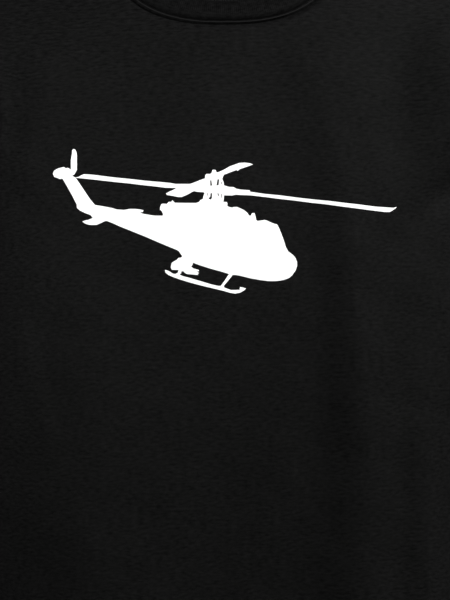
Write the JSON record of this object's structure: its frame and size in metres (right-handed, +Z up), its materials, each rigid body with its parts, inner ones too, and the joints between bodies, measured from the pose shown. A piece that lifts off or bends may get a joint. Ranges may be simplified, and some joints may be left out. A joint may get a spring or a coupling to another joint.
{
  "type": "short-sleeved crew-neck t-shirt",
  "caption": "Black knitted crew-neck T-shirt with short sleeves, shaped as worn, with a white aircraft silhouette printed across the chest.",
  "frame": {"origin": "middle of the neck opening, level with the inner ends of the shoulder seams", "axes": "+Z up along the wearer's body, the printed front faces -Y, +X to the wearer's left"},
  "size_m": [0.7086, 0.203, 0.735],
  "materials": {
    "jersey": "matte",
    "rib": "matte",
    "tape": "matte",
    "print_ink": "matte"
  },
  "bodies": {
    "root": {"front_panel": "jersey", "back_panel": "jersey", "left_sleeve": "jersey", "right_sleeve": "jersey", "neckband": "rib", "neck_tape": "tape", "neck_label": "tape", "left_shoulder_seam": "jersey", "right_shoulder_seam": "jersey", "left_armhole_seam": "jersey", "right_armhole_seam": "jersey", "left_side_seam": "jersey", "right_side_seam": "jersey", "body_hem": "jersey", "left_sleeve_hem": "jersey", "right_sleeve_hem": "jersey", "chest_print": "print_ink"}
  },
  "joints": []
}
